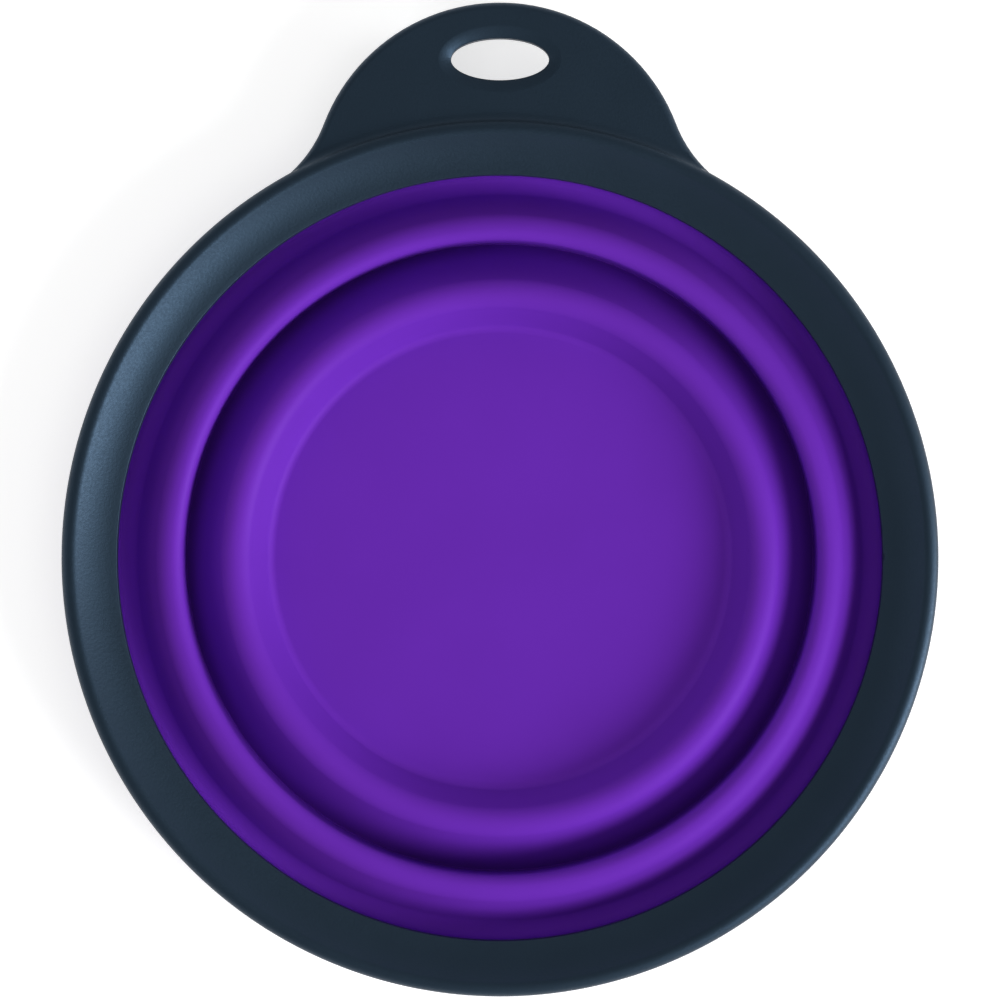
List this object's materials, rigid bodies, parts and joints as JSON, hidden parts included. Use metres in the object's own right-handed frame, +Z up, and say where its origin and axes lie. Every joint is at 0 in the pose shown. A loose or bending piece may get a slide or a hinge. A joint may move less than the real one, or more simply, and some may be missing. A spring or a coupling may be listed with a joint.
{
  "type": "collapsible pet travel cup",
  "caption": "Soft bowl that folds flat into nested rings inside a rigid dished rim, and pops open in stages to hold water or food; the rim has a hang tab with a bevelled oval hole.",
  "frame": {"origin": "on the bowl's axis, at the underside of its base, with the cup folded flat", "axes": "+Z up out of the bowl, +Y towards the hang tab, +X to the right as the mouth is looked into with the tab at the top"},
  "size_m": [0.117, 0.1327, 0.0138],
  "materials": {
    "frame_plastic": "fine moulded grain, dark slate",
    "bowl_rubber": "smooth satin, purple"
  },
  "bodies": {
    "base": {"lower_wall": "bowl_rubber", "base_floor": "bowl_rubber"},
    "middle_ring": {"middle_wall": "bowl_rubber", "lower_fold": "bowl_rubber"},
    "frame": {"rim_frame": "frame_plastic", "bowl_collar": "bowl_rubber", "upper_wall": "bowl_rubber", "upper_fold": "bowl_rubber"}
  },
  "joints": [
    {"name": "lower_fold_pop", "type": "slide", "parent": "base", "child": "middle_ring", "axis": [0, 0, 1], "range_m": [0, 0.0174], "deforming": ["lower_fold"]},
    {"name": "upper_fold_pop", "type": "slide", "parent": "middle_ring", "child": "frame", "axis": [0, 0, 1], "range_m": [0, 0.0132], "deforming": ["upper_fold"]}
  ]
}
